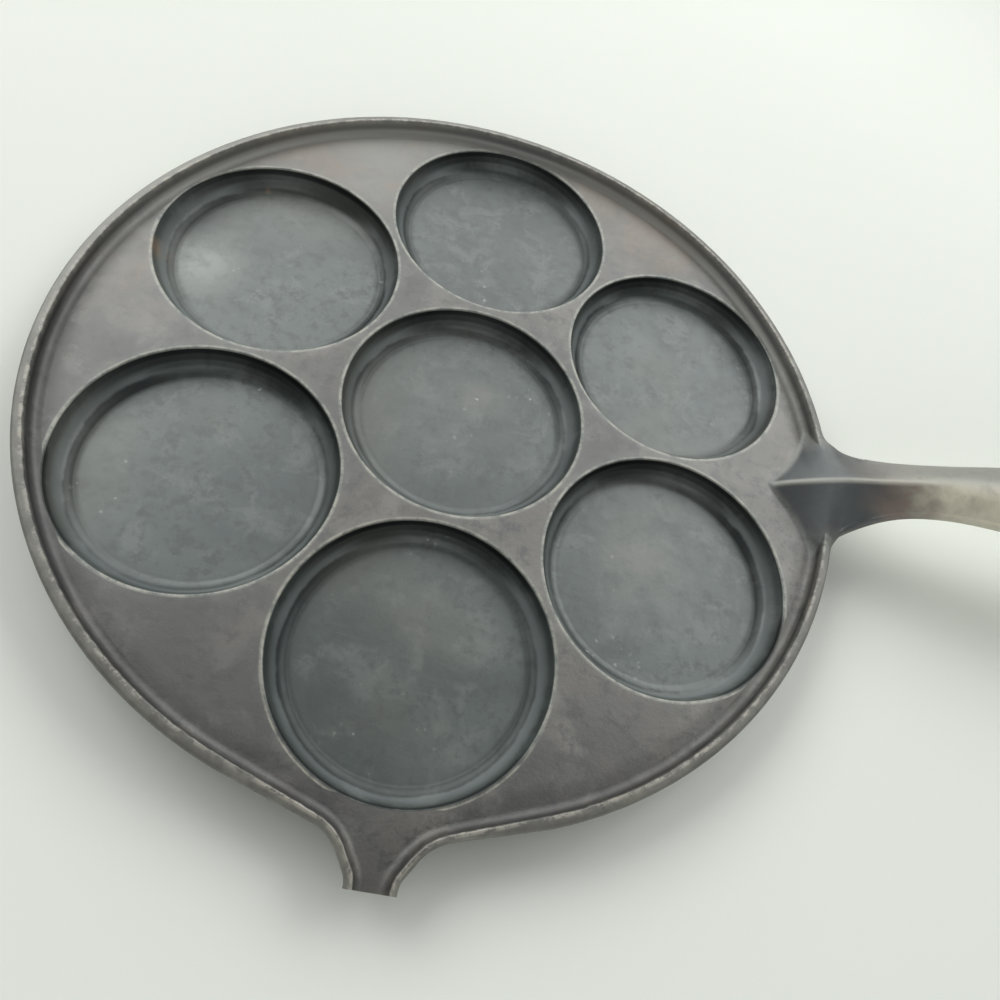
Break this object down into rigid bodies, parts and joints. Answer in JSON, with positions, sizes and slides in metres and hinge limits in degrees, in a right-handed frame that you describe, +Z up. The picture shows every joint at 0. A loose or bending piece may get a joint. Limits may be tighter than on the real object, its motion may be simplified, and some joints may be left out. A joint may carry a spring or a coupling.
{
  "type": "seven-well pancake pan",
  "caption": "Shallow cast iron pancake pan with round flat wells in a ring around a centre one, a low rim, a narrow pouring beak at the side and a long ridged handle",
  "frame": {"origin": "middle of the base, on the plane of the seven flat well undersides", "axes": "+X along the handle, +Z up, the pouring beak points to -Y"},
  "size_m": [0.3725, 0.2579, 0.0448],
  "materials": {
    "deck_iron": "seasoned, warm grey-brown with faint rust",
    "well_iron": "seasoned smooth, bluish slate",
    "rim_iron": "worn edge, grey-olive",
    "root_iron": "seasoned, dark",
    "grip_iron": "handled, tan-olive bloom"
  },
  "bodies": {
    "root": {"deck_plate": "deck_iron", "pour_beak": "rim_iron", "rim_long_arc": "rim_iron", "rim_short_arc": "rim_iron", "handle_root": "root_iron", "handle_neck": "root_iron", "handle_grip": "grip_iron", "well_cup_centre": "well_iron", "well_cup_1": "well_iron", "well_cup_2": "well_iron", "well_cup_3": "well_iron", "well_cup_4": "well_iron", "well_cup_5": "well_iron", "well_cup_6": "well_iron"}
  },
  "joints": []
}
